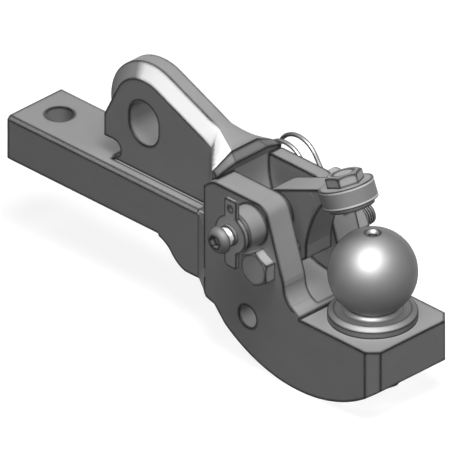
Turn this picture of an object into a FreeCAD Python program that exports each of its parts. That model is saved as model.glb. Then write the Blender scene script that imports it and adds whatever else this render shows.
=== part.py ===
# Pick-up hitch insert: a forged shank with lifting lug, two cheeks and a ball platform,
# an 80 mm tow ball, and a hold-down arm that swings on a pin between the cheeks.
# Frame: origin at the ball centre, +X to the ball end, +Y to the far side, +Z up.
import FreeCAD, Part
import math
import os

from FreeCAD import Placement, Rotation, Vector

doc = FreeCAD.newDocument("hitch_insert")

# The driving sizes, in millimetres and degrees: one cell and one alias each.
SIZES = [
    ("ball_dia", 80.0, "tow ball"),
    ("ball_centre_height", 45.8, "ball centre over the platform"),
    ("ball_flange_dia", 80.4, "round foot of the ball"),
    ("ball_flange_land", 69.2, "top land of the foot"),
    ("ball_flange_height", 6.3, "straight side of the foot"),
    ("ball_flange_bevel", 3.0, "bevel over the straight side"),
    ("ball_neck_dia", 46.0, "neck under the ball"),
    ("ball_centre_dia", 7.5, "centre hole in the ball top"),
    ("ball_centre_sink", 14.0, "countersink of the centre hole"),
    ("stem_dia", 40.0, "stem in the platform"),
    ("stem_thread_dia", 36.0, "threaded end of the stem"),
    ("stem_thread_length", 23.5, "threaded end of the stem"),
    ("stem_washer_dia", 60.0, "washer under the platform"),
    ("stem_washer", 4.0, "washer under the platform"),
    ("stem_nut_flats", 52.0, "nut under the platform"),
    ("stem_nut", 16.0, "nut under the platform"),
    ("nut_recess_dia", 66.0, "round recess for that nut"),
    ("platform_length", 50.0, "platform front over the ball centre"),
    ("platform_width", 100.0, "platform and cheek block"),
    ("platform_depth", 39.7, "height of the front face"),
    ("platform_web", 40.2, "platform over the nut recess"),
    ("corner_bevel", 10.0, "upright corners of the platform"),
    ("belly_radius", 150.0, "curved underside"),
    ("belly_centre_x", -43.0, "centre of the curved underside"),
    ("block_rear", 160.0, "rear of the cheek block"),
    ("cheek_top", 50.8, "top of the cheeks"),
    ("cheek_lean", 18.5, "lean of the cheek fronts"),
    ("cheek_nose_radius", 15.0, "rounding at the front top"),
    ("near_cheek", 27.5, "thickness of the near cheek"),
    ("far_cheek", 29.3, "thickness of the far cheek"),
    ("far_cheek_upper", 15.3, "far cheek above its step"),
    ("far_step_level", 14.0, "level of the step on the far side"),
    ("pocket_rear", 150.0, "rear wall of the pocket"),
    ("pocket_radius", 80.0, "sweep of the pocket floor"),
    ("cross_hole_dia", 21.5, "hole across the lower block"),
    ("cross_hole_x", -105.5, "hole across the lower block"),
    ("cross_hole_height", -68.3, "hole across the lower block"),
    ("shank_end", 419.0, "end of the shank"),
    ("shank_width", 70.0, "shank"),
    ("shank_depth", 45.0, "shank"),
    ("shank_top", 0.9, "top of the shank"),
    ("shank_bevel", 3.0, "long edges of the shank"),
    ("shank_hole_dia", 25.5, "upright locking hole"),
    ("shank_hole_inset", 30.0, "locking hole from the end"),
    ("heel_level", 66.5, "underside behind the cheek block"),
    ("spread_length", 21.0, "widening from the shank to the cheek block"),
    ("groove_width", 5.1, "grooves beside the foot of the lug"),
    ("groove_depth", 3.0, "grooves beside the foot of the lug"),
    ("lug_thickness", 35.0, "lifting lug"),
    ("lug_rim", 15.0, "flat of the lug rim"),
    ("lug_bevel", 13.4, "bevel measured on the lug side"),
    ("lug_radius", 51.4, "round head of the lug"),
    ("lug_centre_x", -266.1, "centre of the round head"),
    ("lug_centre_height", 53.1, "centre of the round head"),
    ("lug_slope", 23.5, "fall of the lug rim"),
    ("lug_nose", 316.0, "upright nose of the lug"),
    ("eye_dia", 36.0, "lifting eye"),
    ("eye_drop", 7.0, "straight part of the eye"),
    ("undercut_height", 16.0, "relief under the lug nose"),
    ("pin_x", -99.8, "pivot pin"),
    ("pin_height", 28.2, "pivot pin"),
    ("pin_dia", 25.0, "pivot pin"),
    ("pin_boss_dia", 37.5, "guide boss on the near cheek"),
    ("pin_boss_length", 21.0, "guide boss on the near cheek"),
    ("stop_x", -86.0, "stop bolt"),
    ("stop_height", -8.0, "stop bolt"),
    ("bolt_dia", 20.0, "stop bolt and pressure screw"),
    ("bolt_flats", 30.0, "across the flats of head and nut"),
    ("bolt_head", 12.5, "head height"),
    ("bolt_nut", 16.0, "nut height"),
    ("bolt_length", 130.0, "under the head"),
    ("running_gap", 0.05, "radial play of turning fits"),
    ("loose_gap", 0.5, "side play of the arm between the cheeks"),
    ("arm_width", 31.6, "hold-down arm"),
    ("arm_hub_radius", 19.3, "arm around the pin"),
    ("hub_face_dia", 33.0, "raised hub faces"),
    ("web_hollow", 5.0, "depth of the hollow in each side of the arm"),
    ("heel_gap", 0.6, "heel of the arm before the stop bolt"),
    ("bush_wall", 3.0, "bushes in the arm"),
    ("bush_gap", 2.7, "between the two bushes in the arm"),
    ("head_dia", 50.0, "round head of the arm"),
    ("head_length", 17.7, "round head of the arm"),
    ("head_reach", 65.3, "lower face of the head from the ball centre"),
    ("head_tilt", 22.0, "lean of the head axis"),
    ("pad_dia", 41.0, "pressure pad"),
    ("pad_thickness", 4.0, "pressure pad"),
    ("pad_gap", 0.4, "pressure pad under the head"),
    ("lock_nut", 10.0, "lock nut height"),
    ("washer_thickness", 2.0, "washer behind the catch plate"),
    ("washer_overhang", 0.4, "washer past the guide boss"),
    ("spigot_wall", 2.5, "end of the pin that carries the catch plate"),
    ("stack_gap", 0.3, "end play on each side of the catch plate"),
    ("plate_thickness", 4.0, "catch plate"),
    ("plate_tab", 14.6, "tabs of the catch plate"),
    ("plate_up", 35.0, "upper tab from the pin axis"),
    ("plate_down", 33.0, "lower tab from the pin axis"),
    ("plate_hole_dia", 6.0, "small hole in the upper tab"),
    ("plate_hole_drop", 9.0, "small hole from the tab's end"),
    ("button_dia", 25.5, "round screw head"),
    ("button_land", 2.0, "straight rim of the screw head"),
    ("button_height", 6.5, "round screw head"),
    ("button_hex", 11.0, "across the flats of the socket"),
    ("neck_dia", 12.0, "neck of the screw"),
    ("screw_depth", 24.0, "screw past the catch plate, in the pin"),
    ("spring_wire", 1.8, "catch plate spring"),
    ("spring_dia", 15.8, "catch plate spring"),
    ("spring_room", 6.4, "between the collar and the head washer"),
    ("cup_dia", 20.0, "collar before the catch plate"),
    ("cup_length", 3.4, "collar before the catch plate"),
    ("seat_thickness", 1.2, "washer under the screw head"),
    ("linch_dia", 8.0, "linch pin"),
    ("linch_length", 34.0, "linch pin"),
    ("linch_head", 14.0, "head of the linch pin"),
    ("linch_head_wall", 1.5, "head of the linch pin"),
    ("linch_standoff", 12.0, "linch pin from the far cheek"),
    ("pin_end_margin", 6.0, "pivot pin past the linch pin"),
    ("ring_wire", 4.0, "linch ring"),
    ("ring_radius", 25.0, "round end of the linch ring"),
    ("ring_reach", 48.2, "round end of the ring behind the pin axis"),
]

sheet = doc.addObject("Spreadsheet::Sheet", "sizes")
for row, (alias, value, use) in enumerate(SIZES, start=1):
    sheet.set("A%d" % row, use)
    sheet.set("B%d" % row, str(value))
    sheet.setAlias("B%d" % row, alias)
doc.recompute()


def size(alias):
    """Value of one cell of the sheet."""
    return float(sheet.get(alias))


def bind(thing, **formulas):
    """Tie properties of an object to formulas in the sheet's sizes."""
    for name, formula in formulas.items():
        thing.setExpression(name, formula)
    return thing


def place(thing, x=0.0, y=0.0, z=0.0, turn=None):
    thing.Placement = Placement(Vector(x, y, z), turn or Rotation())
    return thing


ALONG_Y = Rotation(Vector(1, 0, 0), -90)
SIDE_VIEW = Rotation(Vector(1, 0, 0), 90)


def rod(name, radius, length, **where):
    """Cylinder whose radius and length are formulas."""
    thing = doc.addObject("Part::Cylinder", name)
    bind(thing, Radius=radius, Height=length)
    return place(thing, **where)


def taper(name, low, high, length, **where):
    thing = doc.addObject("Part::Cone", name)
    bind(thing, Radius1=low, Radius2=high, Height=length)
    return place(thing, **where)


def hexagon(name, flats, length, **where):
    """Hexagonal prism given by its width across the flats."""
    thing = doc.addObject("Part::Prism", name)
    thing.Polygon = 6
    bind(thing, Circumradius="%s / 2 / cos(30)" % flats, Height=length)
    return place(thing, **where)


def block(name, low, high):
    """Box between two corners."""
    thing = doc.addObject("Part::Box", name)
    thing.Length = high[0] - low[0]
    thing.Width = high[1] - low[1]
    thing.Height = high[2] - low[2]
    return place(thing, *low)


def joined(name, pieces):
    thing = doc.addObject("Part::MultiFuse", name)
    thing.Shapes = pieces
    thing.Refine = True
    return thing


def without(name, base, tool):
    thing = doc.addObject("Part::Cut", name)
    thing.Base = base
    thing.Tool = tool
    thing.Refine = True
    return thing


def side_sketch(name, outline, y=0.0):
    """Closed sketch in the X-Z plane. The outline is a list of ends, each one a point
    for a straight run or a pair (middle, end) for an arc; the first entry is the start."""
    sketch = doc.addObject("Sketcher::SketchObject", name)
    last = outline[0]
    for step in outline[1:] + [outline[0]]:
        if isinstance(step[0], tuple):
            middle, end = step
            arc = Part.Arc(Vector(*last, 0), Vector(*middle, 0), Vector(*end, 0))
            sketch.addGeometry(arc, False)
        else:
            end = step
            if math.dist(last, end) > 0.001:
                sketch.addGeometry(Part.LineSegment(Vector(*last, 0), Vector(*end, 0)), False)
        last = end
    return place(sketch, 0.0, y, 0.0, SIDE_VIEW)


def side_solid(name, outline, y_low, width):
    """The outline carried across: from y_low towards +Y by the width formula."""
    sketch = side_sketch(name + "_outline", outline, y_low)
    thing = doc.addObject("Part::Extrusion", name)
    thing.Base = sketch
    thing.DirMode = "Normal"
    thing.Reversed = True
    thing.Solid = True
    bind(thing, LengthFwd=width)
    return thing


def on_circle(centre, radius, degrees):
    angle = math.radians(degrees)
    return (centre[0] + radius * math.cos(angle), centre[1] + radius * math.sin(angle))


def touch_from(point, centre, radius, side):
    """Where a straight line from the point touches the circle, on the left or right."""
    dx = point[0] - centre[0]
    dz = point[1] - centre[1]
    away = math.hypot(dx, dz)
    angle = math.atan2(dz, dx) + side * math.acos(radius / away)
    return (centre[0] + radius * math.cos(angle), centre[1] + radius * math.sin(angle))


# Levels and places that several pieces share.
platform_top = -size("ball_centre_height")
half_width = size("platform_width") / 2
near_face = -half_width
pocket_near = near_face + size("near_cheek")
pocket_far = half_width - size("far_cheek")
far_upper_face = pocket_far + size("far_cheek_upper")
boss_end = near_face - size("pin_boss_length")
pin_x = size("pin_x")
pin_z = size("pin_height")
stop_x = size("stop_x")
stop_z = size("stop_height")
recess_top = platform_top - size("platform_web")
lug_tail_x = -size("block_rear") - 23.0


# Cheek block and platform: one outline across the full width, then the pocket.
def block_outline():
    front = size("platform_length")
    rear = -size("block_rear")
    top = size("cheek_top")
    radius = size("belly_radius")
    front_low = (front, platform_top - size("platform_depth"))
    centre_x = size("belly_centre_x")
    centre_z = front_low[1] + math.sqrt(radius ** 2 - (front - centre_x) ** 2)
    belly = (centre_x, centre_z)
    belly_end = on_circle(belly, radius, 232.4)
    lean = size("cheek_lean")
    nose = size("cheek_nose_radius")
    nose_centre = (-94.8, top - nose)
    lean_top = on_circle(nose_centre, nose, lean)
    foot_z = -16.3
    foot_x = lean_top[0] + (lean_top[1] - foot_z) * math.tan(math.radians(lean))
    return [
        (front, platform_top),
        front_low,
        ((centre_x, centre_z - radius), belly_end),
        (rear + 13.0, -72.5),
        (rear + 2.5, -69.5),
        (rear, -65.0),
        (rear, top - 8.5),
        ((rear + 5.1, top - 3.6), (rear + 12.4, top)),
        (nose_centre[0], top),
        (on_circle(nose_centre, nose, 55), lean_top),
        (foot_x, foot_z),
        (foot_x + 0.8, -20.5),
        ((foot_x + 3.4, -31.0), (foot_x + 9.0, platform_top + 8.2)),
        (foot_x + 15.6, platform_top + 4.1),
        (-size("ball_flange_dia") / 2 - 0.3, platform_top),
    ]


def pocket_outline():
    rear = -size("pocket_rear")
    radius = size("pocket_radius")
    centre = (rear + radius, 42.0)
    floor = on_circle(centre, radius, 263.5)
    lip = (-45.2, platform_top + 4.1)
    return [
        (rear, 75.0),
        (rear, centre[1]),
        (on_circle(centre, radius, 222), floor),
        lip,
        (20.0, lip[1]),
        (20.0, 75.0),
    ]


def shank_heel_outline():
    """Under the shank's front end: a step down with rounded corners to the block."""
    low = -size("heel_level")
    base = size("shank_top") - size("shank_depth")
    return [
        (-232.0, base + 3.0),
        (-231.0, base),
        ((-223.0, base - 3.6), (-215.0, base - 11.0)),
        ((-208.5, low + 5.0), (-198.0, low)),
        (-155.0, low),
        (-155.0, base + 3.0),
    ]


def lug_outline(inset):
    """Side view of the lifting lug; the inset is how far the bevel has eaten in."""
    centre = (size("lug_centre_x"), size("lug_centre_height"))
    radius = size("lug_radius") - inset
    nose = -size("lug_nose")
    nose_top = (nose, 38.8)
    rise = touch_from(nose_top, centre, radius, -1)
    fall = on_circle(centre, radius, 90 - size("lug_slope"))
    tail_x = lug_tail_x
    drop = (tail_x - fall[0]) * math.tan(math.radians(size("lug_slope")))
    crown = on_circle(centre, radius, 100)
    return [
        (nose, -5.0),
        nose_top,
        rise,
        (crown, fall),
        (tail_x, fall[1] - drop),
        (tail_x, -5.0),
    ]


def wire_of(outline, y):
    """Closed wire in the X-Z plane at one y."""
    edges = []
    last = outline[0]
    for step in outline[1:] + [outline[0]]:
        start = Vector(last[0], y, last[1])
        if isinstance(step[0], tuple):
            middle, end = step
            edges.append(Part.Arc(start, Vector(middle[0], y, middle[1]),
                                  Vector(end[0], y, end[1])).toShape())
        else:
            end = step
            edges.append(Part.LineSegment(start, Vector(end[0], y, end[1])).toShape())
        last = end
    return Part.Wire(edges)


def lug_side(name, sign):
    """Ruled bevel between the rim outline and the smaller side outline."""
    rim = size("lug_rim") / 2 * sign
    side = size("lug_thickness") / 2 * sign
    loft = Part.makeLoft([wire_of(lug_outline(0.0), rim),
                          wire_of(lug_outline(size("lug_bevel")), side)], True, True)
    thing = doc.addObject("Part::Feature", name)
    thing.Shape = loft
    return thing


def lug_tail():
    """The lug spreads into both cheeks: ruled between two upright sections."""
    rim = size("lug_rim") / 2
    side = size("lug_thickness") / 2
    outer = lug_outline(0.0)[4]
    inner = lug_outline(size("lug_bevel"))[4]
    top = size("cheek_top")
    bend_x = -162.0
    end_x = -size("pocket_rear")

    def section(x, half_rim, rim_z, half_side, side_z):
        corners = [(-half_side, -5.0), (-half_side, side_z), (-half_rim, rim_z),
                   (half_rim, rim_z), (half_side, side_z), (half_side, -5.0)]
        points = [Vector(x, y, z) for y, z in corners]
        return Part.makePolygon(points + points[:1])

    first = section(outer[0], rim, outer[1], side, inner[1])
    middle = section(bend_x, 15.0, top + 14.0, 38.0, top + 2.2)
    last = section(end_x, 20.0, top + 6.5, 44.0, top + 1.0)
    shape = Part.makeLoft([first, middle], True, True).fuse(
        Part.makeLoft([middle, last], True, True))
    thing = doc.addObject("Part::Feature", "lug_tail")
    thing.Shape = shape.removeSplitter()
    return thing


def hitch_body():
    width = size("platform_width")
    rear = -size("block_rear")
    core = side_solid("cheek_block", block_outline(), near_face, "sizes.platform_width")
    heel = side_solid("shank_heel", shank_heel_outline(), -size("shank_width") / 2,
                      "sizes.shank_width")

    shank = doc.addObject("Part::Box", "shank_bar")
    bind(shank, Length="sizes.shank_end - sizes.block_rear + 5", Width="sizes.shank_width",
         Height="sizes.shank_depth")
    place(shank, -size("shank_end"), -size("shank_width") / 2,
          size("shank_top") - size("shank_depth"))
    bevel = doc.addObject("Part::Chamfer", "shank_bevelled")
    bevel.Base = shank
    doc.recompute()
    long_edges = []
    for number, edge in enumerate(shank.Shape.Edges, start=1):
        along = edge.Vertexes[1].Point - edge.Vertexes[0].Point
        if abs(along.x) > size("shank_width") * 2:
            long_edges.append((number, size("shank_bevel"), size("shank_bevel")))
    bevel.Edges = long_edges

    # The sides spread from the shank to the cheek block in plan.
    start = rear - size("spread_length")
    spread = doc.addObject("Part::Wedge", "shank_spread")
    spread.Xmin, spread.Xmax = -size("heel_level"), size("shank_top") - 1.0
    spread.X2min, spread.X2max = spread.Xmin, spread.Xmax
    spread.Ymin, spread.Ymax = 0.0, size("spread_length") + 1.0
    spread.Zmin, spread.Zmax = -size("shank_width") / 2, size("shank_width") / 2
    spread.Z2min, spread.Z2max = near_face + 0.5, half_width - 0.5
    place(spread, start, turn=Rotation(Vector(0, 0, 1), Vector(1, 0, 0), Vector(0, 1, 0), "XYZ"))

    rim = side_solid("lug_middle", lug_outline(0.0), -size("lug_rim") / 2, "sizes.lug_rim")
    boss = rod("pin_boss", "sizes.pin_boss_dia / 2", "sizes.pin_boss_length + 1",
               x=pin_x, y=boss_end, z=pin_z, turn=ALONG_Y)
    solid = joined("forging", [core, heel, bevel, spread, rim, lug_side("lug_near", -1),
                               lug_side("lug_far", 1), lug_tail(), boss])

    tools = [side_solid("pocket", pocket_outline(), pocket_near,
                        "sizes.platform_width - sizes.near_cheek - sizes.far_cheek")]

    # Far cheek: thinner above its step, where the linch pin lies.
    step = block("far_step", (rear - 30.0, far_upper_face, size("far_step_level")),
                 (0.0, half_width + 30.0, size("cheek_top") + 40.0))
    tools.append(step)

    # Lifting eye: two bores and the straight part between them.
    eye_x = size("lug_centre_x") - 0.7
    eye_z = size("lug_centre_height") - 4.7
    drop = size("eye_drop") / 2
    eye_radius = size("eye_dia") / 2
    eye_outline = [
        (eye_x + eye_radius, eye_z - drop),
        (eye_x + eye_radius, eye_z + drop),
        ((eye_x, eye_z + drop + eye_radius), (eye_x - eye_radius, eye_z + drop)),
        (eye_x - eye_radius, eye_z - drop),
        ((eye_x, eye_z - drop - eye_radius), (eye_x + eye_radius, eye_z - drop)),
    ]
    tools.append(side_solid("lifting_eye", eye_outline, -size("lug_thickness"),
                            "sizes.lug_thickness * 2"))

    # Rounded relief under the nose of the lug.
    nose = -size("lug_nose")
    under = size("shank_top")
    height = size("undercut_height")
    relief = [
        (nose - 1.0, under),
        (nose + 12.0, under),
        ((nose + 12.0 + height / 2, under + height / 2), (nose + 12.0, under + height)),
        (nose - 1.0, under + height),
    ]
    tools.append(side_solid("nose_relief", relief, -size("lug_thickness"),
                            "sizes.lug_thickness * 2"))

    # Grooves beside the foot of the lug.
    side = size("lug_thickness") / 2
    wide = size("groove_width")
    floor = under - size("groove_depth")
    for name, low in (("near_groove", -side - wide), ("far_groove", side)):
        tools.append(block(name, (nose + 14.0, low, floor), (start, low + wide, under + 30.0)))

    # Holes: locking pin, cross hole, pivot pin, stop bolt and the ball's stem.
    deep = "sizes.shank_depth + 10"
    tools.append(rod("locking_hole", "sizes.shank_hole_dia / 2", deep,
                     x=-size("shank_end") + size("shank_hole_inset"),
                     z=size("shank_top") - size("shank_depth") - 5.0))
    across = "sizes.platform_width + 60"
    tools.append(rod("cross_hole", "sizes.cross_hole_dia / 2", across,
                     x=size("cross_hole_x"), y=near_face - 5.0, z=size("cross_hole_height"),
                     turn=ALONG_Y))
    tools.append(rod("pin_bore", "sizes.pin_dia / 2 + sizes.running_gap", across,
                     x=pin_x, y=boss_end - 5.0, z=pin_z, turn=ALONG_Y))
    tools.append(rod("stop_bore", "sizes.bolt_dia / 2 + 0.5", across,
                     x=stop_x, y=near_face - 5.0, z=stop_z, turn=ALONG_Y))
    tools.append(rod("stem_bore", "sizes.stem_dia / 2", "sizes.platform_web + 10",
                     z=recess_top - 5.0))
    tools.append(rod("nut_recess", "sizes.nut_recess_dia / 2", "sizes.platform_depth",
                     z=recess_top - size("platform_depth")))

    # Upright bevels at the two front corners.
    bevel_size = size("corner_bevel")
    front = size("platform_length")
    for name, sign in (("near_corner", -1), ("far_corner", 1)):
        corner = doc.addObject("Part::Feature", name)
        y = half_width * sign
        points = [Vector(front - bevel_size - 5, y + 5 * sign, 0),
                  Vector(front + 5, y + 5 * sign, 0),
                  Vector(front + 5, y - (bevel_size + 5) * sign, 0)]
        low = platform_top - size("platform_depth") - 60.0
        face = Part.Face(Part.makePolygon([p + Vector(0, 0, low) for p in points + points[:1]]))
        corner.Shape = face.extrude(Vector(0, 0, 160.0))
        tools.append(corner)

    cutters = doc.addObject("Part::MultiFuse", "body_cutters")
    cutters.Shapes = tools
    whole = without("forging_cut", solid, cutters)

    # The forging is kept as four solids that meet face to face, so that each hollow
    # has walls of its own: the shank, the lug, the cheeks and the platform under them.
    # The lug's foot is let into the shank as deep as the grooves beside it.
    outside = half_width + size("pin_boss_length") + 1.0
    tail = -size("shank_end") - 1.0
    nose_end = front + 1.0
    bottom = platform_top - size("belly_radius")
    crest = size("lug_centre_height") + size("lug_radius") + 1.0
    lug_room = joined("lug_room", [
        block("lug_foot", (nose + 12.0, -side, floor), (rear, side, crest)),
        block("lug_spread", (lug_tail_x, -outside, floor), (rear, outside, crest)),
        block("lug_head", (tail, -outside, under + height / 2), (rear, outside, crest)),
    ])
    bar_and_lug = part_of("bar_and_lug", whole, (tail, -outside, bottom), (rear, outside, crest))
    return [
        without("shank", bar_and_lug, lug_room),
        shared("lifting_lug", bar_and_lug, lug_room),
        part_of("cheek_housing", whole, (rear, -outside, platform_top), (nose_end, outside, crest)),
        part_of("ball_platform", whole, (rear, -outside, bottom), (nose_end, outside, platform_top)),
    ]


def shared(name, one, other):
    thing = doc.addObject("Part::MultiCommon", name)
    thing.Shapes = [one, other]
    thing.Refine = True
    return thing


def part_of(name, whole, low, high):
    """What of the forging lies between two corners."""
    return shared(name, whole, block(name + "_region", low, high))


# Tow ball: ball, waisted neck, foot and stem, turned in one piece.
def tow_ball():
    radius = size("ball_dia") / 2
    neck = size("ball_neck_dia") / 2
    land = size("ball_flange_land") / 2
    foot = size("ball_flange_dia") / 2
    stem = size("stem_dia") / 2
    thread = size("stem_thread_dia") / 2
    foot_top = platform_top + size("ball_flange_height")
    land_z = foot_top + size("ball_flange_bevel")
    sink = size("ball_centre_sink") / 2
    hole = size("ball_centre_dia") / 2
    sink_z = math.sqrt(radius ** 2 - sink ** 2)
    stem_end = recess_top - size("stem_thread_length")
    leave = -math.sqrt(radius ** 2 - neck ** 2)
    fillet = (land - neck) * 0.62
    outline = [
        (0.0, sink_z - 12.0),
        (hole, sink_z - 12.0 + hole * 0.6),
        (hole, sink_z - (sink - hole)),
        (sink, sink_z),
        ((radius, 0.0), (neck, leave)),
        (neck, leave - 0.5),
        ((neck + 1.1, (leave + land_z) / 2 - 0.4), (neck + fillet * 0.55, land_z)),
        (land, land_z),
        (foot, foot_top),
        (foot, platform_top),
        (stem, platform_top),
        (stem, recess_top + 1.0),
        (thread, recess_top + 1.0),
        (thread, stem_end + 1.5),
        (thread - 1.5, stem_end),
        (0.0, stem_end),
    ]
    turned = side_sketch("ball_outline", outline)
    thing = doc.addObject("Part::Revolution", "tow_ball")
    thing.Source = turned
    thing.Axis = Vector(0, 0, 1)
    thing.Base = Vector(0, 0, 0)
    thing.Angle = 360.0
    thing.Solid = True
    return thing


def ring(name, bore, outer, length, **where):
    """Flat ring: a rod less its bore, both given as formulas."""
    outside = rod(name + "_disc", outer, length, **where)
    inside = rod(name + "_bore", bore, length, **where)
    return without(name, outside, inside)


def nut(name, flats, bore, length, **where):
    """Hexagon with its corners rounded off on the outer face, less its thread bore."""
    prism = hexagon(name + "_hex", flats, length, **where)
    bore_rod = rod(name + "_bore", bore, length, **where)
    crown = taper(name + "_crown", "%s / 2 / cos(30) + %s * 1.6" % (flats, length),
                  "%s / 2 * 0.97" % flats, length, **where)
    trimmed = doc.addObject("Part::MultiCommon", name + "_trimmed")
    trimmed.Shapes = [prism, crown]
    return without(name, trimmed, bore_rod)


def ball_fixing():
    seat = recess_top - size("stem_washer")
    washer = ring("ball_washer", "sizes.stem_thread_dia / 2 + 0.3", "sizes.stem_washer_dia / 2",
                  "sizes.stem_washer", z=seat)
    big_nut = nut("ball_nut", "sizes.stem_nut_flats", "sizes.stem_thread_dia / 2",
                  "sizes.stem_nut", z=seat, turn=Rotation(Vector(1, 0, 0), 180))
    return [washer, big_nut]


# Stop bolt: through both cheeks, its head on the near side and its nut on the far side.
def stop_bolt():
    toward_near = Rotation(Vector(1, 0, 0), 90)
    shaft = rod("stop_shaft", "sizes.bolt_dia / 2", "sizes.bolt_length + 1",
                x=stop_x, y=near_face - 1.0, z=stop_z, turn=ALONG_Y)
    prism = hexagon("stop_head_hex", "sizes.bolt_flats", "sizes.bolt_head",
                    x=stop_x, y=near_face, z=stop_z, turn=toward_near)
    prism.Placement.Rotation = toward_near * Rotation(Vector(0, 0, 1), 30)
    crown = taper("stop_head_crown", "sizes.bolt_flats / 2 / cos(30) + sizes.bolt_head * 1.6",
                  "sizes.bolt_flats / 2 * 0.97", "sizes.bolt_head",
                  x=stop_x, y=near_face, z=stop_z, turn=toward_near)
    head = doc.addObject("Part::MultiCommon", "stop_head")
    head.Shapes = [prism, crown]
    bolt = joined("stop_bolt", [shaft, head])
    far_nut = nut("stop_bolt_nut", "sizes.bolt_flats", "sizes.bolt_dia / 2", "sizes.bolt_nut",
                  x=stop_x, y=half_width, z=stop_z, turn=ALONG_Y)
    return [bolt, far_nut]


# Hold-down arm: a hub on the pin, a web that rises to the round head, a heel in front
# of the stop bolt.
head_lean = math.radians(size("head_tilt"))
head_axis = Vector(-math.sin(head_lean), 0, math.cos(head_lean))
head_foot = Vector(-size("head_reach") * math.sin(math.radians(24.2)), 0,
                   size("head_reach") * math.cos(math.radians(24.2)))
HEAD_TURN = Rotation(Vector(0, 0, 1), head_axis)


def on_head(distance):
    """Place on the head axis, measured up from the head's lower face."""
    point = head_foot + head_axis * distance
    return dict(x=point.x, y=point.y, z=point.z, turn=HEAD_TURN)


def arm_outline():
    hub = size("arm_hub_radius")
    heel_back = stop_x + size("bolt_dia") / 2 + size("heel_gap")
    rear_touch = on_circle((pin_x, pin_z), hub, 128)
    top = on_circle((pin_x, pin_z), hub, 104)
    return [
        top,
        (-56.5, 66.2),
        (-42.0, 72.0),
        (-38.0, 60.0),
        (-48.6, 52.0),
        ((-60.5, 30.0), (-67.0, 5.0)),
        (-67.0, -8.5),
        (heel_back + 1.5, -13.5),
        (heel_back, -11.0),
        (heel_back, 3.0),
        on_circle((pin_x, pin_z), hub, 312),
        (on_circle((pin_x, pin_z), hub, 220), rear_touch),
    ]


def hold_down_arm():
    half = size("arm_width") / 2
    web = side_solid("arm_web", arm_outline(), -half, "sizes.arm_width")
    near_hub = pocket_near + size("loose_gap") / 2
    far_hub = pocket_far - size("loose_gap") / 2
    hub_length = "(sizes.platform_width - sizes.near_cheek - sizes.far_cheek - sizes.loose_gap)"
    hub = rod("arm_hub", "sizes.hub_face_dia / 2", hub_length,
              x=pin_x, y=near_hub, z=pin_z, turn=ALONG_Y)
    head = rod("arm_head", "sizes.head_dia / 2", "sizes.head_length", **on_head(0.0))
    solid = joined("arm_solid", [web, hub, head])
    doc.recompute()

    # The sides of the web are hollowed, which leaves a rim around a thinner web.
    hollow = [(-78.0, 40.0), (-62.0, 58.0), (-57.0, 50.0), ((-66.0, 34.0), (-72.0, 16.0)),
              (-78.0, 20.0)]
    near_hollow = side_solid("near_hollow", hollow, -half - 1.0, "sizes.web_hollow + 1")
    far_hollow = side_solid("far_hollow", hollow, half - size("web_hollow"), "sizes.web_hollow + 1")

    bore = rod("arm_bore", "sizes.pin_dia / 2 + sizes.bush_wall", hub_length + " + 2",
               x=pin_x, y=near_hub - 1.0, z=pin_z, turn=ALONG_Y)
    thread = rod("arm_thread", "sizes.bolt_dia / 2 + sizes.running_gap",
                 "sizes.head_length + 2 * sizes.bolt_dia", **on_head(-size("bolt_dia")))
    cutters = doc.addObject("Part::MultiFuse", "arm_cutters")
    cutters.Shapes = [near_hollow, far_hollow, bore, thread]
    arm = without("hold_down_arm", solid, cutters)
    bushes = []
    far_start = (near_hub + far_hub + size("bush_gap")) / 2
    for name, start in (("arm_bush_near", near_hub), ("arm_bush_far", far_start)):
        bushes.append(ring(name, "sizes.pin_dia / 2 + sizes.running_gap",
                           "sizes.pin_dia / 2 + sizes.bush_wall",
                           "(%s - sizes.bush_gap) / 2" % hub_length,
                           x=pin_x, y=start, z=pin_z, turn=ALONG_Y))
    return [arm] + bushes


# Pressure screw: a threaded rod with a pad at its lower end, and its lock nut.
def pressure_screw():
    rise = size("head_length")
    shaft = rod("pressure_shaft", "sizes.bolt_dia / 2",
                "sizes.head_length + sizes.lock_nut + sizes.pad_thickness / 2",
                **on_head(-size("pad_thickness") / 2 - size("pad_gap")))
    pad = rod("pressure_disc", "sizes.pad_dia / 2", "sizes.pad_thickness",
              **on_head(-size("pad_thickness") - size("pad_gap")))
    screw = joined("pressure_screw", [shaft, pad])
    top_nut = nut("lock_nut", "sizes.bolt_flats", "sizes.bolt_dia / 2 + sizes.running_gap",
                  "sizes.lock_nut", **on_head(rise))
    return [screw, top_nut]


# Pivot pin with the washer, catch plate, spring and button screw on its near end.
washer_face = boss_end - size("washer_thickness")
plate_back = washer_face - size("stack_gap")
plate_front = plate_back - size("plate_thickness")
cup_face = plate_front - size("stack_gap") - size("cup_length")
seat_face = cup_face - size("spring_room")
button_rim = seat_face - size("seat_thickness") - size("button_land")
linch_y = far_upper_face + size("linch_standoff")


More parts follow.
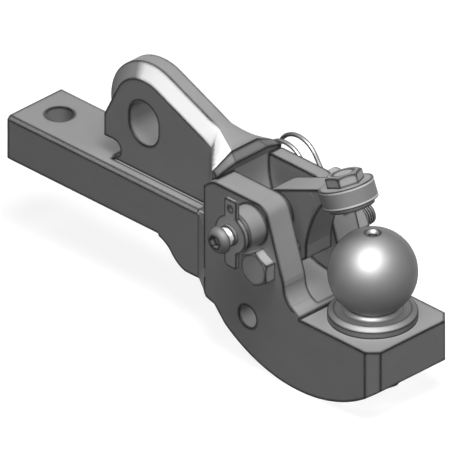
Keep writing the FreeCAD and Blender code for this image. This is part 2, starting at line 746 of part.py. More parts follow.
def pivot_pin():
    far_end = linch_y + size("linch_dia") / 2 + size("pin_end_margin")
    shaft = doc.addObject("Part::Cylinder", "pin_shaft")
    bind(shaft, Radius="sizes.pin_dia / 2")
    shaft.Height = far_end - boss_end
    place(shaft, pin_x, boss_end, pin_z, ALONG_Y)
    spigot = rod("pin_spigot", "sizes.neck_dia / 2 + sizes.spigot_wall",
                 "sizes.washer_thickness + sizes.plate_thickness + 1.4",
                 x=pin_x, y=plate_front - 0.1, z=pin_z, turn=ALONG_Y)
    solid = joined("pin_solid", [shaft, spigot])
    tapped = rod("pin_tapped", "sizes.neck_dia / 2", "sizes.screw_depth + 6",
                 x=pin_x, y=plate_front - 2.0, z=pin_z, turn=ALONG_Y)
    cross = rod("pin_cross", "sizes.linch_dia / 2 + 0.2", "sizes.pin_dia * 2",
                x=pin_x - size("pin_dia"), y=linch_y, z=pin_z, turn=Rotation(Vector(0, 1, 0), 90))
    cutters = doc.addObject("Part::MultiFuse", "pin_cutters")
    cutters.Shapes = [tapped, cross]
    return without("pivot_pin", solid, cutters)


def catch_plate():
    """Round plate with two tabs; a small hole in the upper tab."""
    tab = size("plate_tab") / 2
    up = pin_z + size("plate_up")
    down = pin_z - size("plate_down")
    cut = 3.0
    tab_outline = [
        (pin_x - tab, down + cut),
        (pin_x - tab, up - 1.0),
        (pin_x - tab + 1.0, up),
        (pin_x + tab - 1.0, up),
        (pin_x + tab, up - 1.0),
        (pin_x + tab, down + 1.0),
        (pin_x + tab - 1.0, down),
        (pin_x - tab + cut, down),
    ]
    tabs = side_solid("plate_tabs", tab_outline, plate_front, "sizes.plate_thickness")
    disc = rod("plate_disc", "sizes.pin_boss_dia / 2 - sizes.running_gap", "sizes.plate_thickness",
               x=pin_x, y=plate_front, z=pin_z, turn=ALONG_Y)
    centre = rod("plate_centre", "sizes.neck_dia / 2 + sizes.spigot_wall + sizes.running_gap",
                 "sizes.plate_thickness", x=pin_x, y=plate_front, z=pin_z, turn=ALONG_Y)
    small = rod("plate_small_hole", "sizes.plate_hole_dia / 2", "sizes.plate_thickness",
                x=pin_x, y=plate_front, z=up - size("plate_hole_drop"), turn=ALONG_Y)
    solid = joined("plate_solid", [tabs, disc])
    cutters = doc.addObject("Part::MultiFuse", "plate_cutters")
    cutters.Shapes = [centre, small]
    return without("catch_plate", solid, cutters)


def button_screw():
    """Round-headed screw with a hexagon socket, turned about the pin axis."""
    rim_y = button_rim
    radius = size("button_dia") / 2
    rise = size("button_height")
    neck = size("neck_dia") / 2
    inner_end = plate_front + size("screw_depth")
    land = size("button_land")
    outline = [
        (0.0, inner_end),
        (neck, inner_end),
        (neck, rim_y + land),
        (radius - 1.0, rim_y + land),
        (radius, rim_y + 1.0),
        (radius, rim_y),
        ((radius * 0.8, rim_y - rise * 0.72), (radius * 0.42, rim_y - rise)),
        (0.0, rim_y - rise),
    ]
    sketch = doc.addObject("Sketcher::SketchObject", "button_outline")
    last = outline[0]
    for step in outline[1:] + outline[:1]:
        if isinstance(step[0], tuple):
            middle, end = step
            sketch.addGeometry(Part.Arc(Vector(*last, 0), Vector(*middle, 0), Vector(*end, 0)))
        else:
            end = step
            sketch.addGeometry(Part.LineSegment(Vector(*last, 0), Vector(*end, 0)))
        last = end
    place(sketch, pin_x, 0.0, pin_z)
    turned = doc.addObject("Part::Revolution", "button_turned")
    turned.Source = sketch
    turned.Axis = Vector(0, 1, 0)
    turned.Base = Vector(pin_x, 0, pin_z)
    turned.Angle = 360.0
    turned.Solid = True
    socket = hexagon("button_socket", "sizes.button_hex", "sizes.button_height",
                     x=pin_x, y=rim_y - rise - 1.0, z=pin_z, turn=ALONG_Y)
    return without("button_screw", turned, socket)


def plate_spring():
    """Coils between the collar and the washer under the screw head."""
    wire = size("spring_wire") / 2
    start = cup_face - 0.1 - wire
    end = seat_face + 0.1 + wire
    turns = 3
    helix = Part.makeLongHelix((start - end) / turns, start - end, size("spring_dia") / 2)
    circle = Part.Wire(Part.makeCircle(wire, Vector(size("spring_dia") / 2, 0, 0),
                                       Vector(0, 1, 0)))
    shape = helix.makePipeShell([circle], True, True)
    thing = doc.addObject("Part::Feature", "plate_spring")
    thing.Shape = shape
    return place(thing, pin_x, end, pin_z, ALONG_Y)


def spring_collars():
    """Stepped collar before the catch plate, and the thin washer under the screw head."""
    cup = ring("spring_cup", "sizes.neck_dia / 2", "sizes.cup_dia / 2", "sizes.cup_length",
               x=pin_x, y=cup_face, z=pin_z, turn=ALONG_Y)
    seat = ring("head_washer", "sizes.neck_dia / 2", "sizes.cup_dia / 2 - 1",
                "sizes.seat_thickness", x=pin_x, y=seat_face - size("seat_thickness"), z=pin_z,
                turn=ALONG_Y)
    return [cup, seat]


def pin_washer():
    return ring("pin_washer", "sizes.neck_dia / 2 + sizes.spigot_wall + sizes.running_gap",
                "sizes.pin_boss_dia / 2 + sizes.washer_overhang", "sizes.washer_thickness",
                x=pin_x, y=washer_face, z=pin_z, turn=ALONG_Y)


# Linch pin through the far end of the pivot pin, and its sprung ring.
ring_hinge = (pin_x - size("pin_dia") / 2 - 5.0, pin_z)


def linch_pin():
    along = Rotation(Vector(0, 1, 0), 90)
    head_start = ring_hinge[0] - size("linch_head") / 2
    shaft = rod("linch_shaft", "sizes.linch_dia / 2", "sizes.linch_length",
                x=ring_hinge[0], y=linch_y, z=pin_z, turn=along)
    head = rod("linch_block", "sizes.linch_dia / 2 + sizes.linch_head_wall", "sizes.linch_head - 3.5",
               x=head_start, y=linch_y, z=pin_z, turn=along)
    tip = taper("linch_tip", "sizes.linch_dia / 2", "sizes.linch_dia / 4", "sizes.linch_dia / 2",
                x=ring_hinge[0] + size("linch_length"), y=linch_y, z=pin_z, turn=along)
    solid = joined("linch_solid", [shaft, head, tip])
    eye = rod("linch_eye", "sizes.ring_wire / 2 + sizes.running_gap", "sizes.linch_head * 2",
              x=ring_hinge[0], y=linch_y - size("linch_head"), z=pin_z, turn=ALONG_Y)
    return without("linch_pin", solid, eye)


def linch_ring():
    """Wire bow: an axle through the head, then two strands that rise and curl round."""
    strand = (size("linch_dia") + size("ring_wire")) / 2 + size("linch_head_wall") + 0.6
    centre = (pin_x - size("ring_reach"), pin_z + 0.8)
    radius = size("ring_radius")
    bend = size("ring_wire") * 0.6
    leg = (ring_hinge[0], pin_z)
    touch = touch_from(leg, centre, radius, 1)
    end_angle = 205.0
    end = on_circle(centre, radius, end_angle)
    start_angle = math.degrees(math.atan2(touch[1] - centre[1], touch[0] - centre[0]))
    middle = on_circle(centre, radius, (start_angle + end_angle) / 2)
    heading = math.radians(end_angle + 90)
    tip = (end[0] + math.cos(heading) * strand, end[1] + math.sin(heading) * strand)

    def point(flat, y):
        return Vector(flat[0], linch_y + y, flat[1])

    run = Vector(touch[0] - leg[0], 0, touch[1] - leg[1]).normalize()
    corner = point(leg, -strand)
    foot = corner + Vector(0, bend, 0)
    rise = corner + run * bend
    knee = corner + (Vector(0, 1, 0) + run) * bend * (1 - math.sqrt(0.5))
    far_corner = point(leg, strand)
    far_foot = far_corner - Vector(0, bend, 0)
    far_rise = far_corner + run * bend
    far_knee = far_corner + (Vector(0, -1, 0) + run) * bend * (1 - math.sqrt(0.5))
    edges = [
        Part.LineSegment(point(leg, 0.0), foot),
        Part.Arc(foot, knee, rise),
        Part.LineSegment(rise, point(touch, -strand)),
        Part.Arc(point(touch, -strand), point(middle, -strand), point(end, -strand)),
        Part.Arc(point(end, -strand), point(tip, 0.0), point(end, strand)),
        Part.Arc(point(end, strand), point(middle, strand), point(touch, strand)),
        Part.LineSegment(point(touch, strand), far_rise),
        Part.Arc(far_rise, far_knee, far_foot),
        Part.LineSegment(far_foot, point(leg, 0.01)),
    ]
    path = Part.Wire([edge.toShape() for edge in edges])
    circle = Part.Wire(Part.makeCircle(size("ring_wire") / 2, point(leg, 0.0), Vector(0, 1, 0)))
    thing = doc.addObject("Part::Feature", "linch_ring")
    thing.Shape = path.makePipeShell([circle], True, False)
    return thing


pieces = hitch_body()
pieces.append(tow_ball())
pieces += ball_fixing()
pieces += stop_bolt()
pieces += hold_down_arm()
pieces += pressure_screw()
pieces += [pivot_pin(), pin_washer(), catch_plate(), plate_spring(), button_screw()]
pieces += spring_collars()
pieces += [linch_pin(), linch_ring()]
doc.recompute()

# Every object has to be sound before anything is written.
for thing in doc.Objects:
    if "Invalid" in thing.State or "Error" in thing.State:
        raise RuntimeError("%s failed: %s" % (thing.Name, thing.State))
for piece in pieces:
    if piece.Shape.isNull() or not piece.Shape.isValid():
        raise RuntimeError("%s has no sound shape" % piece.Name)

os.makedirs("parts", exist_ok=True)
for piece in pieces:
    piece.Shape.exportStep("parts/%s.step" % piece.Label)
    box = piece.Shape.BoundBox
    print("%-16s solids %d volume %9.1f  X %7.1f %7.1f  Y %6.1f %6.1f  Z %7.1f %7.1f" % (
        piece.Label, len(piece.Shape.Solids), piece.Shape.Volume,
        box.XMin, box.XMax, box.YMin, box.YMax, box.ZMin, box.ZMax))
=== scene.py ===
import math

import bpy
import numpy as np
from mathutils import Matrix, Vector


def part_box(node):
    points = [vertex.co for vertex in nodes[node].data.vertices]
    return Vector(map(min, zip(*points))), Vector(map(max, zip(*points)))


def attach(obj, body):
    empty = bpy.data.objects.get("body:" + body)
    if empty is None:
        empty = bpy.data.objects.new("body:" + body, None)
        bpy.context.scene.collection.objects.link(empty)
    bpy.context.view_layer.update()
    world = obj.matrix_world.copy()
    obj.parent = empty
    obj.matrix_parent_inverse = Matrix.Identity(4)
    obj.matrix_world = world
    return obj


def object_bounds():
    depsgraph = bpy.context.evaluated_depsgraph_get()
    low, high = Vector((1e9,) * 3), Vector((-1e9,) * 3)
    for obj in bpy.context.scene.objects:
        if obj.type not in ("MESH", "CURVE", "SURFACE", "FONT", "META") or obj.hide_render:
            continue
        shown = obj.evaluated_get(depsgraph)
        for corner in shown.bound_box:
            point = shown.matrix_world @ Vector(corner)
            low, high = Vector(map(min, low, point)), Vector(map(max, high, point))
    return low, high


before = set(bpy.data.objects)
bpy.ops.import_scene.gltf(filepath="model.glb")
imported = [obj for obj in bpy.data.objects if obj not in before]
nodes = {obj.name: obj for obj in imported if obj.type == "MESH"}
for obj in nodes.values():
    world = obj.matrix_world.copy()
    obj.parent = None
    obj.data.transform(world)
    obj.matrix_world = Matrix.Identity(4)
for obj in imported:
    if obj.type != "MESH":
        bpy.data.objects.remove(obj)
MM = 0.001
frame_box = [list(corner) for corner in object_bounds()]


# Camera: a parallel view from 45 degrees to the side and 30 degrees up.
# The ball centre falls on a named pixel of the square picture, at a named scale.
PICTURE = 452
PIXELS_PER_MM = 1.138
BALL_PIXEL = (372.7, 271.5)
VIEW_TURN = math.radians(45)
VIEW_RISE = math.radians(30)
CAMERA_DISTANCE = 1.6


def camera():
    """The camera's centre is the ball centre less its offset from the picture's middle."""
    right = np.array([math.cos(VIEW_TURN), math.sin(VIEW_TURN), 0])
    back = np.array([math.sin(VIEW_TURN) * math.cos(VIEW_RISE),
                     -math.cos(VIEW_TURN) * math.cos(VIEW_RISE), math.sin(VIEW_RISE)])
    up = np.cross(back, right)
    across = (PICTURE / 2 - BALL_PIXEL[0]) / PIXELS_PER_MM * MM
    above = (BALL_PIXEL[1] - PICTURE / 2) / PIXELS_PER_MM * MM
    data = bpy.data.cameras.new("camera")
    data.type = "ORTHO"
    data.ortho_scale = PICTURE / PIXELS_PER_MM * MM
    made = bpy.data.objects.new("camera", data)
    made.location = right * across + up * above + back * CAMERA_DISTANCE
    made.rotation_euler = (math.pi / 2 - VIEW_RISE, 0, VIEW_TURN)
    bpy.context.scene.collection.objects.link(made)
    bpy.context.scene.camera = made


camera()


# Cheeks and platform: forged steel with a thin dark-grey coat over a shot-blasted grain,
# and a thin dark line where the coat thins along each edge. Where the CAD parts cheeks
# from platform the line stays away, and the crest above the cheeks has painted shade.
class Value:
    """One number socket of a material, with Python's operators as Math nodes."""

    def __init__(self, finish, socket):
        self.finish = finish
        self.socket = socket

    def math(self, operation, *others):
        return self.finish.node("ShaderNodeMath", {"operation": operation}, self, *others)

    def __add__(self, other):
        return self.math("ADD", other)

    def __sub__(self, other):
        return self.math("SUBTRACT", other)

    def __rsub__(self, other):
        return self.finish.node("ShaderNodeMath", {"operation": "SUBTRACT"}, other, self)

    def __mul__(self, other):
        return self.math("MULTIPLY", other)

    def __truediv__(self, other):
        return self.math("DIVIDE", other)

    __radd__ = __add__
    __rmul__ = __mul__

    def clamped(self):
        return self.math("MAXIMUM", 0.0).math("MINIMUM", 1.0)

    def within(self, reach):
        """1 where the number is nearer to nought than this, and 0 elsewhere."""
        return self.math("ABSOLUTE").math("LESS_THAN", reach)


EDGE_LIFT = 40.0


class Finish:
    """A material under construction; node() adds any node and returns one of its outputs."""

    def __init__(self, name):
        self.material = bpy.data.materials.new(name)
        self.material.use_nodes = True
        self.tree = self.material.node_tree
        self.shader = self.tree.nodes["Principled BSDF"]

    def node(self, kind, settings=None, *inputs, output=0, **named):
        made = self.tree.nodes.new(kind)
        for key, value in (settings or {}).items():
            setattr(made, key, value)
        for place, value in enumerate(inputs):
            self.feed(made.inputs[place], value)
        for place, value in named.items():
            self.feed(made.inputs[place.replace("_", " ")], value)
        return Value(self, made.outputs[output])

    def feed(self, socket, value):
        if isinstance(value, Value):
            self.tree.links.new(value.socket, socket)
        elif value is not None:
            socket.default_value = value

    def set(self, **sockets):
        for name, value in sockets.items():
            self.feed(self.shader.inputs[name.replace("_", " ")], value)

    def place(self, stretch=(1, 1, 1)):
        """Object coordinates in metres, stretched along the axes."""
        where = self.node("ShaderNodeTexCoord", output=3)
        return self.node("ShaderNodeMapping", None, where, Scale=stretch)

    def position(self, axis):
        return self.node("ShaderNodeSeparateXYZ", None, self.place(), output="XYZ".index(axis))

    def facing(self, direction):
        """How squarely the true face looks along a direction, as a dot product."""
        normal = self.node("ShaderNodeNewGeometry", output=3)
        return self.node("ShaderNodeVectorMath", {"operation": "DOT_PRODUCT"}, normal, direction,
                         output=1)

    def upright(self):
        """1 on faces that stand upright or nearly so, and 0 on the others."""
        return self.facing((0, 0, 1)).within(0.3)

    def noise(self, scale, detail, stretch=(1, 1, 1)):
        return self.node("ShaderNodeTexNoise", Vector=self.place(stretch), Scale=scale,
                         Detail=detail)

    def edge(self, radius):
        """1 along sharp edges and 0 on open faces: how far a rounded normal leaves the true one."""
        rounded = self.node("ShaderNodeBevel", {"samples": 6}, radius)
        true = self.node("ShaderNodeNewGeometry", output=1)
        along = self.node("ShaderNodeVectorMath", {"operation": "DOT_PRODUCT"}, rounded, true,
                          output=1)
        return ((1.0 - along) * EDGE_LIFT).math("MINIMUM", 1.0)

    def rim(self, share):
        """1 where a round surface turns out of sight, over this share of its turn."""
        facing = self.node("ShaderNodeLayerWeight", None, 0.5, output=1)
        return ((facing - (1.0 - share)) * (2.0 / share)).clamped()

    def mix(self, share, low, high):
        mixed = self.node("ShaderNodeMix", {"data_type": "RGBA"}, share, output=2)
        colours = [socket for socket in mixed.socket.node.inputs if socket.type == "RGBA"]
        self.feed(colours[0], low)
        self.feed(colours[1], high)
        return mixed

    def bump(self, height, strength, distance, normal=None):
        return self.node("ShaderNodeBump", None, strength, distance, Height=height, Normal=normal)

    def softened(self, share, radius):
        """The surface's normal, rounded over this radius where share is 1."""
        mixed = self.node("ShaderNodeMix", {"data_type": "VECTOR"}, share, output=1)
        normals = [socket for socket in mixed.socket.node.inputs if socket.type == "VECTOR"]
        self.feed(normals[-2], self.node("ShaderNodeNewGeometry", output=1))
        self.feed(normals[-1], self.node("ShaderNodeBevel", {"samples": 12}, radius))
        return mixed


def grey(level):
    """A neutral grey with a trace of blue."""
    return (level, level, level * 1.005, 1)


LINE_DEPTH = 0.95
LINE_SHARE = 0.06
COAT_LINE = 4.4 * MM
COAT_GLOSS = 0.24
BLAST_GRAIN = 0.16


def coated(name, level, trim=None, grain=BLAST_GRAIN):
    """Dark-grey coat. A trim returns the edge line, tone and normal that one piece has."""
    finish = Finish(name)
    flow = finish.noise(28.0, 5.0, (1, 1, 2))
    speck = finish.noise(900.0, 3.0)
    body = finish.mix(flow, grey(level * 0.90), grey(level * 1.08))
    tone = finish.mix(speck * 0.35, body, grey(level * 0.72))
    line = finish.edge(COAT_LINE) * LINE_DEPTH
    normal = None
    if trim:
        line, tone, normal = trim(finish, line, tone)
    lined = finish.mix(line, tone, grey(level * LINE_SHARE))
    blast = finish.noise(1500.0, 2.0)
    finish.set(Base_Color=lined, Roughness=0.50 + flow * 0.10, Metallic=0.0,
               Normal=finish.bump(blast, grain, 0.25 * MM, normal),
               Specular_IOR_Level=(1.0 - line) * COAT_GLOSS)
    return finish.material


def dress(material, *names):
    """The CAD pieces of these names take this one material."""
    for name in names:
        slots = nodes[name].data.materials
        slots.clear()
        slots.append(material)
        first = np.zeros(len(nodes[name].data.polygons), np.int32)
        nodes[name].data.polygons.foreach_set("material_index", first)


BODY_GREY = 0.248
PARTING_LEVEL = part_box("ball_platform")[1][2]
PARTING_FRONT = -43.0 * MM
PARTING_REACH = 4.3 * MM
CHEEK_TOP = 50.8 * MM
CREST_FADE = 0.8 * MM
CREST_SHADE = 0.42


def cheek_trim(finish, line, tone):
    """No line on the sides at the parting level, and painted shade on the crest above the cheeks.
    """
    level = (finish.position("Z") - PARTING_LEVEL).within(PARTING_REACH)
    behind = finish.position("X").math("LESS_THAN", PARTING_FRONT)
    parting = level * behind * finish.upright()
    # Painted shade: the crest above the cheek tops is painted darker.
    crest = ((finish.position("Z") - CHEEK_TOP) / CREST_FADE).clamped()
    shaded = finish.mix(crest, tone, grey(BODY_GREY * CREST_SHADE))
    return line * (1.0 - parting), shaded, None


dress(coated("body_coat", BODY_GREY, cheek_trim), "cheek_housing", "ball_platform")


# Shank: the same coat. Its sides spread to the cheeks in a hollow, and that part is
# painted darker as shade from the cheeks and has no edge line.
CHEEK_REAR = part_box("cheek_housing")[0][0]
SPREAD_START = CHEEK_REAR - 24.0 * MM
SPREAD_FADE = 4.0 * MM
SPREAD_SHADE = 0.40


def shank_trim(finish, line, tone):
    """Sides painted darker as shade from the start of the spread on."""
    # Painted shade: the upright sides from the spread on are painted darker.
    spread = ((finish.position("X") - SPREAD_START) / SPREAD_FADE).clamped() * finish.upright()
    shaded = finish.mix(spread, tone, grey(BODY_GREY * SPREAD_SHADE))
    return line * (1.0 - spread), shaded, None


dress(coated("bar_coat", BODY_GREY, shank_trim), "shank")


# Lifting lug: the same coat with a painted highlight on the near bevel. Where the lug runs out to
# the cheeks its faces are shaded as one round form, with a fainter line between them.
NEAR_BEVEL = (0.24, -0.80, 0.55)
BEVEL_HIGHLIGHT = 0.80
BEVEL_SQUARE = 0.90
BEVEL_RISE = 20.0
TAIL_START = CHEEK_REAR - 34.0 * MM
TAIL_FADE = 12.0 * MM
TAIL_WIDENS = 0.12
TAIL_LINE = 0.85
TAIL_ROUND = 14.0 * MM


def lug_trim(finish, line, tone):
    """Painted highlight on the bevel, rounded tail, and no line where the CAD parts the lug from
    the cheeks.
    """
    tail = ((finish.position("X") - TAIL_START) / TAIL_FADE).clamped()
    parting = (finish.position("X") - CHEEK_REAR).within(PARTING_REACH)
    # Painted highlight: faces turned like the near bevel, widened over the tail, are painted light
    # grey.
    square = finish.facing(NEAR_BEVEL) + tail * TAIL_WIDENS
    bevel = ((square - BEVEL_SQUARE) * BEVEL_RISE).clamped()
    bright = finish.mix(bevel, tone, grey(BEVEL_HIGHLIGHT))
    fainter = line * (1.0 - tail * TAIL_LINE) * (1.0 - parting)
    return fainter, bright, finish.softened(tail, TAIL_ROUND)


dress(coated("lug_coat", BODY_GREY, lug_trim), "lifting_lug")


# Hold-down arm: cast, so its grain is coarser, with a narrow painted highlight on the chamfer
# round the top and the foot of its head. A thin cover lies over the hollow in the web's near side,
# which is plain in the photo, and swings with the arm.
ARM_GREY = 0.24
CAST_GRAIN = 0.28
HEAD_TILT = math.radians(22.0)
HEAD_RISE = math.radians(24.2)
HEAD_REACH = 65.3 * MM
HEAD_LENGTH = 17.7 * MM
HEAD_RADIUS = 25.0 * MM
HEAD_AXIS = (-math.sin(HEAD_TILT), 0.0, math.cos(HEAD_TILT))
HEAD_FOOT = (-HEAD_REACH * math.sin(HEAD_RISE), 0.0, HEAD_REACH * math.cos(HEAD_RISE))
CHAMFER_INSET = 1.6 * MM
CHAMFER_HALF = 0.8 * MM
CHAMFER_HIGHLIGHT = 0.62


def arm_trim(finish, line, tone):
    """Two rings of painted highlight round the head, found by height along its axis and distance
    from it.
    """
    where = finish.node("ShaderNodeVectorMath", {"operation": "SUBTRACT"}, finish.place(),
                        HEAD_FOOT)
    up = finish.node("ShaderNodeVectorMath", {"operation": "DOT_PRODUCT"}, where, HEAD_AXIS,
                     output=1)
    reach = finish.node("ShaderNodeVectorMath", {"operation": "LENGTH"}, where, output=1)
    across = (reach * reach - up * up).math("MAXIMUM", 0.0).math("SQRT")
    from_middle = (up - HEAD_LENGTH / 2).math("ABSOLUTE")
    at_height = (from_middle - (HEAD_LENGTH / 2 - CHAMFER_INSET)).within(CHAMFER_HALF)
    # Painted highlight: the two chamfer rings are painted light grey.
    ring = at_height * (across - HEAD_RADIUS).within(CHAMFER_HALF)
    return line * (1.0 - ring), finish.mix(ring, tone, grey(CHAMFER_HIGHLIGHT)), None


def no_line(finish, line, tone):
    """Plain coat without an edge line."""
    return 0.0, tone, None


def surface(name, points, body, material):
    """Closed mesh from a grid of points: rows run along the piece and columns round it."""
    rows, columns = points.shape[:2]
    index = np.arange(rows * columns).reshape(rows, columns)
    around = np.concatenate([index, index[:, :1]], axis=1)
    quads = np.stack([around[:-1, :-1], around[:-1, 1:], around[1:, 1:], around[1:, :-1]],
                     axis=-1).reshape(-1, 4)
    caps = [index[0, ::-1].tolist(), index[-1].tolist()]
    mesh = bpy.data.meshes.new(name)
    mesh.from_pydata(points.reshape(-1, 3).tolist(), [], quads.tolist() + caps)
    mesh.polygons.foreach_set("use_smooth", [True] * len(quads) + [False] * len(caps))
    mesh.validate()
    mesh.materials.append(material)
    made = bpy.data.objects.new(name, mesh)
    bpy.context.scene.collection.objects.link(made)
    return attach(made, body)


dress(coated("arm_coat", ARM_GREY, arm_trim, CAST_GRAIN), "hold_down_arm")

ARM_HALF = 15.8 * MM
COVER_THICK = 0.3 * MM
COVER_OUTLINE = [(-80.2, 42.0), (-79.0, 43.4), (-62.4, 61.6), (-59.8, 60.2), (-54.6, 50.0),
                 (-58.6, 44.8), (-63.4, 33.0), (-67.8, 20.6), (-69.6, 13.8), (-72.6, 12.8),
                 (-80.0, 18.2)]
cover_rings = [[(x * MM, -ARM_HALF - out, z * MM) for x, z in COVER_OUTLINE]
               for out in (COVER_THICK, 0.0)]
surface("arm_web_cover", np.array(cover_rings), "hold_down",
        coated("web_coat", ARM_GREY, no_line, CAST_GRAIN))


# Tow ball: turned from bar and polished, with faint turning rings about its upright axis,
# a wide soft highlight and painted shade that darkens the rim. The foot and neck are the same
# piece.
BALL_GREY = 0.14
TURNED_LINE = 3.2 * MM
METAL_GLOSS = 0.36
SHADE_GLOSS = 0.45


def turned(name, level, axis, spacing, roughness, metal, dark_rim=0.10, shade=0.0):
    """Rings about one axis: a sine of the height along it, as a turning tool leaves them."""
    finish = Finish(name)
    rings = (finish.position(axis) * (2 * math.pi / spacing)).math("SINE")
    cloud = finish.noise(60.0, 4.0)
    body = finish.mix(cloud, grey(level * 0.93), grey(level * 1.07))
    # Painted shade: the colour darkens towards the rim, where the surface turns away.
    if shade:
        body = finish.mix(finish.rim(0.9) * shade, body, grey(level * 0.3))
    outline = finish.edge(TURNED_LINE).math("MAXIMUM", finish.rim(dark_rim)) * 0.9
    lined = finish.mix(outline, body, grey(level * LINE_SHARE))
    finish.set(Base_Color=lined, Metallic=metal, Roughness=roughness + cloud * 0.08,
               Normal=finish.bump(rings, 0.10, 0.02 * MM),
               Specular_IOR_Level=(1.0 - outline) * (METAL_GLOSS + shade * SHADE_GLOSS))
    return finish.material


dress(turned("ball_polish", BALL_GREY, axis="Z", spacing=0.9 * MM, roughness=0.50, metal=0.10,
             dark_rim=0.2, shade=0.8), "tow_ball")


# Plated fasteners: the stop bolt and its nut, the lock nut and the pressure screw, and the
# nut and washer under the platform. Dull zinc on cold-headed steel, a little mottled.
BOLT_GREY = 0.28
PLATED_LINE = 4.0 * MM


def plated(name, level, roughness, metal):
    """Mottled zinc: broad cells of slightly different grey over a fine grain."""
    finish = Finish(name)
    cells = finish.node("ShaderNodeTexVoronoi", Vector=finish.place(), Scale=420.0)
    cloud = finish.noise(130.0, 3.0)
    body = finish.mix(cells * 0.6 + cloud * 0.4, grey(level * 1.06), grey(level * 0.90))
    line = finish.edge(PLATED_LINE) * LINE_DEPTH
    lined = finish.mix(line, body, grey(level * LINE_SHARE))
    finish.set(Base_Color=lined, Metallic=metal, Roughness=roughness + cloud * 0.12,
               Normal=finish.bump(finish.noise(1100.0, 2.0), 0.08, 0.1 * MM),
               Specular_IOR_Level=(1.0 - line) * METAL_GLOSS)
    return finish.material


bolt_zinc = plated("bolt_zinc", BOLT_GREY, roughness=0.46, metal=0.04)
dress(bolt_zinc, "stop_bolt", "stop_bolt_nut", "lock_nut", "ball_nut", "ball_washer",
      "pressure_screw")


# Thread of the stop bolt, a raised ridge that shows beyond its nut on the far side.
# It runs out at both ends, half a pitch clear of the nut and of the bolt's end.
BOLT_RADIUS = 10.0 * MM
COARSE_PITCH = 2.5 * MM
THREAD_STEPS = 40
THREAD_RUN_OUT = 0.4
RIDGE_OUT = (-0.10, 0.32, 0.36, 0.32, -0.10)
RIDGE_ALONG = (-0.46, -0.10, 0.0, 0.10, 0.46)


def thread(name, start, length, radius, pitch, body, material):
    """A small triangle section carried round the bolt's axis, which runs along Y."""
    axis = np.array([0.0, 1.0, 0.0])
    side = np.cross(axis, [0.3, 1.0, 0.2])
    side /= np.linalg.norm(side)
    other = np.cross(axis, side)
    turns = length / pitch
    travel = np.linspace(0, 1, int(turns * THREAD_STEPS))[:, None]
    angle = travel * turns * 2 * math.pi
    lift = np.clip(np.minimum(travel, 1 - travel) * turns / THREAD_RUN_OUT, 0, 1)
    section_out = np.array(RIDGE_OUT) * MM
    out = radius + np.where(section_out > 0, section_out * lift, section_out)
    along = travel * length + np.array(RIDGE_ALONG) * pitch
    ray = np.cos(angle)[..., None] * side + np.sin(angle)[..., None] * other
    points = np.array(start) + out[..., None] * ray + along[..., None] * axis
    return surface(name, points, body, material)


stop_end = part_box("stop_bolt")[1][1]
nut_low, nut_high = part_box("stop_bolt_nut")
thread_start = ((nut_low[0] + nut_high[0]) / 2, nut_high[1] + COARSE_PITCH / 2,
                (nut_low[2] + nut_high[2]) / 2)
thread("stop_bolt_thread", thread_start, stop_end - nut_high[1] - COARSE_PITCH, BOLT_RADIUS,
       COARSE_PITCH, "insert", bolt_zinc)


# Catch plate and its washer: stamped from flat steel, so the faces are flat with a
# faint rolled grain along the strip.
PLATE_GREY = 0.30
PLATE_LINE = 3.4 * MM


def rolled(name, level):
    """Long fine streaks along Z, as flat strip has from the rolls."""
    finish = Finish(name)
    streak = finish.noise(700.0, 3.0, (1, 1, 0.06))
    cloud = finish.noise(90.0, 3.0)
    body = finish.mix(streak * 0.6 + cloud * 0.4, grey(level * 0.9), grey(level * 1.1))
    line = finish.edge(PLATE_LINE) * LINE_DEPTH
    lined = finish.mix(line, body, grey(level * LINE_SHARE))
    finish.set(Base_Color=lined, Metallic=0.04, Roughness=0.46 + streak * 0.12,
               Normal=finish.bump(streak, 0.12, 0.05 * MM),
               Specular_IOR_Level=(1.0 - line) * METAL_GLOSS)
    return finish.material


dress(rolled("plate_strip", PLATE_GREY), "catch_plate", "pin_washer")


# Pivot pin, its collars and its round-headed screw, the linch pin and the arm's bushes:
# ground or turned about the pin's axis, along Y, and lightly oiled.
dress(turned("pin_ground", 0.36, axis="Y", spacing=0.5 * MM, roughness=0.42, metal=0.05),
      "pivot_pin", "linch_pin")
dress(turned("collar_bright", 0.26, axis="Y", spacing=0.6 * MM, roughness=0.46, metal=0.05,
             dark_rim=0.3), "spring_cup", "head_washer")
dress(turned("button_turned", 0.11, axis="Y", spacing=0.7 * MM, roughness=0.62, metal=0.0,
             dark_rim=0.45), "button_screw")
dress(turned("bush_bronze", 0.40, axis="Y", spacing=0.5 * MM, roughness=0.30, metal=0.8),
      "arm_bush_near", "arm_bush_far")


# Spring and linch bow: drawn wire, smooth, with slow waves of tone along it.
# The spring is bright, and the bow is darker with a dark rim.
def drawn_wire(name, level, dark_rim):
    finish = Finish(name)
    wave = finish.noise(240.0, 3.0)
    body = finish.mix(wave, grey(level * 0.85), grey(level * 1.1))
    finish.set(Base_Color=finish.mix(finish.rim(dark_rim), body, grey(0.04)), Metallic=0.15,
               Roughness=0.34 + wave * 0.12)
    return finish.material


dress(drawn_wire("bright_wire", 0.66, dark_rim=0.45), "plate_spring")
dress(drawn_wire("bow_wire", 0.26, dark_rim=0.95), "linch_ring")


# Floor and light. A floor just under the curved belly; to the camera and in reflections
# floor and sky are white, as on a plain studio table, and they light the object dimly.
FLOOR_SEEN = (0.45, 0.45, 0.45, 1)
FLOOR_GLOW = 0.66
FLOOR_BOUNCE = (0.11, 0.11, 0.11, 1)
FLOOR_GAP = 0.6 * MM
FLOOR_HALF = 3.0
SKY_LIGHT = 0.02
SEEN_RAYS = ("Is Camera Ray", "Is Glossy Ray", "Is Transmission Ray")
WHITE = (1, 1, 1, 1)


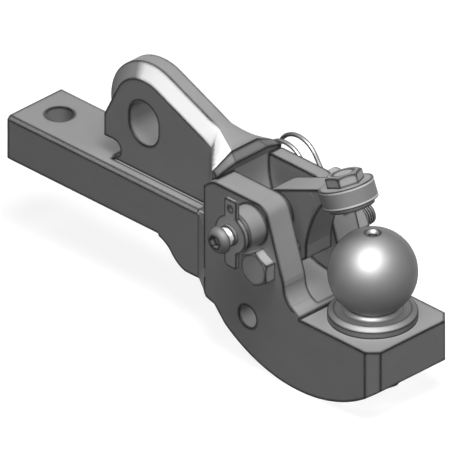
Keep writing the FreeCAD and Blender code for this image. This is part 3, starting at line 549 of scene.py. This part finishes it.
def seen_rays(tree):
    """Socket that is 1 for the camera's rays, reflections and rays through glass."""
    rays = tree.nodes.new("ShaderNodeLightPath")
    seen = rays.outputs[SEEN_RAYS[0]]
    for name in SEEN_RAYS[1:]:
        either = tree.nodes.new("ShaderNodeMath")
        either.operation = "MAXIMUM"
        tree.links.new(seen, either.inputs[0])
        tree.links.new(rays.outputs[name], either.inputs[1])
        seen = either.outputs[0]
    return seen


def floor():
    """White where it is seen, and grey where it lights the object."""
    low = frame_box[0][2] - FLOOR_GAP
    corners = [(x * FLOOR_HALF, y * FLOOR_HALF, low)
               for x, y in ((-1, -1), (1, -1), (1, 1), (-1, 1))]
    mesh = bpy.data.meshes.new("floor")
    mesh.from_pydata(corners, [], [(0, 1, 2, 3)])
    finish = Finish("floor_white")
    seen = Value(finish, seen_rays(finish.tree))
    finish.set(Base_Color=finish.mix(seen, FLOOR_BOUNCE, FLOOR_SEEN), Roughness=0.9,
               Specular_IOR_Level=0.0, Emission_Color=WHITE, Emission_Strength=seen * FLOOR_GLOW)
    mesh.materials.append(finish.material)
    made = bpy.data.objects.new("floor", mesh)
    bpy.context.scene.collection.objects.link(made)


def sky():
    """White where the camera or a reflection looks, dim where it lights the object."""
    world = bpy.data.worlds.new("sky")
    bpy.context.scene.world = world
    world.use_nodes = True
    tree = world.node_tree
    back = tree.nodes["Background"]
    back.inputs["Color"].default_value = WHITE
    strength = tree.nodes.new("ShaderNodeMapRange")
    strength.inputs["To Min"].default_value = SKY_LIGHT
    strength.inputs["To Max"].default_value = 1.0
    tree.links.new(seen_rays(tree), strength.inputs["Value"])
    tree.links.new(strength.outputs["Result"], back.inputs["Strength"])


def lamp(name, toward, distance, width, power, shadow=True, shine_only=False):
    """Round soft lamp that looks back at the object's middle from the given direction."""
    toward = np.array(toward) / np.linalg.norm(toward)
    data = bpy.data.lights.new(name, "AREA")
    data.shape = "DISK"
    data.size = width
    data.energy = power
    data.use_shadow = shadow
    made = bpy.data.objects.new(name, data)
    middle = np.array([(a + b) / 2 for a, b in zip(*frame_box)])
    made.location = middle + toward * distance
    made.rotation_euler = Vector((-toward).tolist()).to_track_quat("-Z", "Y").to_euler()
    made.visible_diffuse = not shine_only
    bpy.context.scene.collection.objects.link(made)


ABOVE = (0.28, -0.14, 0.95)
OVER_SHOULDER = (0.36, -0.47, 0.81)
floor()
sky()
lamp("overhead", ABOVE, distance=2.4, width=1.4, power=41.0)
lamp("fill", ABOVE, distance=2.5, width=0.6, power=39.0, shadow=False)
lamp("highlight", OVER_SHOULDER, distance=2.2, width=1.0, power=420.0, shadow=False,
     shine_only=True)

bpy.context.scene.view_settings.view_transform = "Standard"
